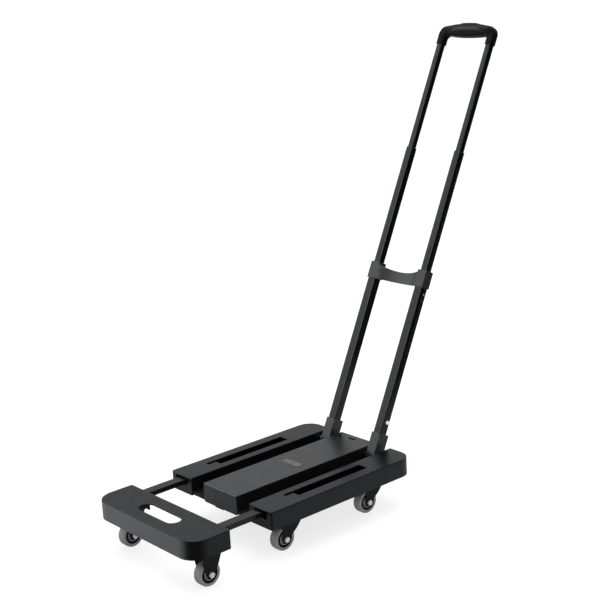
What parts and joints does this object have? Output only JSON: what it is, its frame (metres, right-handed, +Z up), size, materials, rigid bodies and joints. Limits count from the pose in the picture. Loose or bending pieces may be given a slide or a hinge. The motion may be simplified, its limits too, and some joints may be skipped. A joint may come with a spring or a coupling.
{
  "type": "folding luggage cart",
  "caption": "Low flat folding cart for luggage, with a pull-out front plate, a leaning telescopic handle that folds into the deck, and swivel casters.",
  "frame": {"origin": "on the floor, under the middle of the whole cart as it stands with its handle and front plate pulled out", "axes": "+Z up, -Y towards the front plate, +X to the right of somebody who stands at the front plate and looks towards the handle"},
  "size_m": [0.323, 0.9818, 0.9748],
  "materials": {
    "deck_plastic": "fine moulded texture, slightly lighter on the flats",
    "tray_plastic": "plain moulded black",
    "nameplate_film": "satin printed film, left blank",
    "bush_plastic": "slippery nylon",
    "socket_plastic": "moulded glass-filled nylon",
    "handle_tube": "black anodised, satin",
    "extension_steel": "black powder coat",
    "grip_plastic": "moulded, half gloss",
    "soft_grip_rubber": "soft overmoulded rubber",
    "release_alloy": "plain alloy bar",
    "plated_steel": "zinc plated",
    "bright_button": "polished",
    "caster_steel": "black powder coat",
    "axle_chrome": "bright plated",
    "hub_plastic": "moulded",
    "caster_tyre": "grey polyurethane, satin"
  },
  "bodies": {
    "base": {"base_tray": "tray_plastic", "left_wing_shell": "deck_plastic", "right_wing_shell": "deck_plastic", "centre_box_cover": "deck_plastic", "nameplate": "nameplate_film", "guide_sleeves": "bush_plastic", "pivot_shaft": "plated_steel", "base_caster_plates": "caster_steel", "base_fasteners": "plated_steel"},
    "front_extension": {"plate_shell": "deck_plastic", "plate_cover": "tray_plastic", "left_extension_tube": "extension_steel", "right_extension_tube": "extension_steel", "extension_end_stops": "bush_plastic", "front_caster_plates": "caster_steel", "front_fasteners": "plated_steel"},
    "handle_lower": {"cross_brace": "socket_plastic", "stop_rivets": "plated_steel", "left_socket": "socket_plastic", "right_socket": "socket_plastic", "left_lower_tube": "handle_tube", "right_lower_tube": "handle_tube"},
    "left_fold_button": {"left_fold_button": "bright_button"},
    "right_fold_button": {"right_fold_button": "bright_button"},
    "handle_middle": {"left_mid_tube": "handle_tube", "right_mid_tube": "handle_tube", "mid_foot_plugs": "bush_plastic", "mid_head_caps": "bush_plastic"},
    "handle_upper": {"left_upper_tube": "handle_tube", "right_upper_tube": "handle_tube", "upper_foot_plugs": "bush_plastic", "grip_front_shell": "grip_plastic", "grip_rear_shell": "grip_plastic", "soft_grip": "soft_grip_rubber"},
    "grip_release": {"grip_button": "grip_plastic", "release_link": "release_alloy"},
    "front_left_swivel": {"front_left_fork": "caster_steel", "front_left_axle": "axle_chrome"},
    "front_left_wheel": {"front_left_hub": "hub_plastic", "front_left_tyre": "caster_tyre"},
    "front_right_swivel": {"front_right_fork": "caster_steel", "front_right_axle": "axle_chrome"},
    "front_right_wheel": {"front_right_hub": "hub_plastic", "front_right_tyre": "caster_tyre"},
    "middle_left_swivel": {"middle_left_fork": "caster_steel", "middle_left_axle": "axle_chrome"},
    "middle_left_wheel": {"middle_left_hub": "hub_plastic", "middle_left_tyre": "caster_tyre"},
    "middle_right_swivel": {"middle_right_fork": "caster_steel", "middle_right_axle": "axle_chrome"},
    "middle_right_wheel": {"middle_right_hub": "hub_plastic", "middle_right_tyre": "caster_tyre"},
    "rear_left_swivel": {"rear_left_fork": "caster_steel", "rear_left_axle": "axle_chrome"},
    "rear_left_wheel": {"rear_left_hub": "hub_plastic", "rear_left_tyre": "caster_tyre"},
    "rear_right_swivel": {"rear_right_fork": "caster_steel", "rear_right_axle": "axle_chrome"},
    "rear_right_wheel": {"rear_right_hub": "hub_plastic", "rear_right_tyre": "caster_tyre"}
  },
  "joints": [
    {"name": "handle_fold", "type": "hinge", "parent": "base", "child": "handle_lower", "pos_m": [0, 0.06108, 0.097], "axis": [1, 0, 0], "range_deg": [0, 110]},
    {"name": "handle_middle_slide", "type": "slide", "parent": "handle_lower", "child": "handle_middle", "axis": [0, -0.4329, -0.9015], "range_m": [0, 0.255]},
    {"name": "handle_upper_slide", "type": "slide", "parent": "handle_middle", "child": "handle_upper", "axis": [0, -0.4329, -0.9015], "range_m": [0, 0.235]},
    {"name": "grip_button_press", "type": "slide", "parent": "handle_upper", "child": "grip_release", "axis": [0, -0.4329, -0.9015], "range_m": [0, 0.004], "stiffness_N_per_m": 600, "springref_m": -0.004},
    {"name": "left_fold_button_press", "type": "slide", "parent": "handle_lower", "child": "left_fold_button", "axis": [1, 0, 0], "range_m": [0, 0.002], "stiffness_N_per_m": 400, "springref_m": -0.003},
    {"name": "right_fold_button_press", "type": "slide", "parent": "handle_lower", "child": "right_fold_button", "axis": [-1, 0, 0], "range_m": [0, 0.002], "stiffness_N_per_m": 400, "springref_m": -0.003},
    {"name": "front_extension_slide", "type": "slide", "parent": "base", "child": "front_extension", "axis": [0, 1, 0], "range_m": [0, 0.095]},
    {"name": "front_left_swivel_turn", "type": "hinge", "parent": "front_extension", "child": "front_left_swivel", "pos_m": [-0.126, -0.42842, 0.0722], "axis": [0, 0, 1], "continuous": true},
    {"name": "front_left_wheel_spin", "type": "hinge", "parent": "front_left_swivel", "child": "front_left_wheel", "pos_m": [-0.126, -0.43492, 0.025], "axis": [1, 0, 0], "continuous": true},
    {"name": "front_right_swivel_turn", "type": "hinge", "parent": "front_extension", "child": "front_right_swivel", "pos_m": [0.126, -0.42842, 0.0722], "axis": [0, 0, 1], "continuous": true},
    {"name": "front_right_wheel_spin", "type": "hinge", "parent": "front_right_swivel", "child": "front_right_wheel", "pos_m": [0.126, -0.43492, 0.025], "axis": [1, 0, 0], "continuous": true},
    {"name": "middle_left_swivel_turn", "type": "hinge", "parent": "base", "child": "middle_left_swivel", "pos_m": [-0.115, -0.21492, 0.0722], "axis": [0, 0, 1], "continuous": true},
    {"name": "middle_left_wheel_spin", "type": "hinge", "parent": "middle_left_swivel", "child": "middle_left_wheel", "pos_m": [-0.115, -0.18992, 0.025], "axis": [1, 0, 0], "continuous": true},
    {"name": "middle_right_swivel_turn", "type": "hinge", "parent": "base", "child": "middle_right_swivel", "pos_m": [0.115, -0.21492, 0.0722], "axis": [0, 0, 1], "continuous": true},
    {"name": "middle_right_wheel_spin", "type": "hinge", "parent": "middle_right_swivel", "child": "middle_right_wheel", "pos_m": [0.115, -0.23992, 0.025], "axis": [1, 0, 0], "continuous": true},
    {"name": "rear_left_swivel_turn", "type": "hinge", "parent": "base", "child": "rear_left_swivel", "pos_m": [-0.1085, 0.01908, 0.0722], "axis": [0, 0, 1], "continuous": true},
    {"name": "rear_left_wheel_spin", "type": "hinge", "parent": "rear_left_swivel", "child": "rear_left_wheel", "pos_m": [-0.1085, -0.00592, 0.025], "axis": [1, 0, 0], "continuous": true},
    {"name": "rear_right_swivel_turn", "type": "hinge", "parent": "base", "child": "rear_right_swivel", "pos_m": [0.1085, 0.01908, 0.0722], "axis": [0, 0, 1], "continuous": true},
    {"name": "rear_right_wheel_spin", "type": "hinge", "parent": "rear_right_swivel", "child": "rear_right_wheel", "pos_m": [0.1085, -0.00592, 0.025], "axis": [1, 0, 0], "continuous": true}
  ]
}
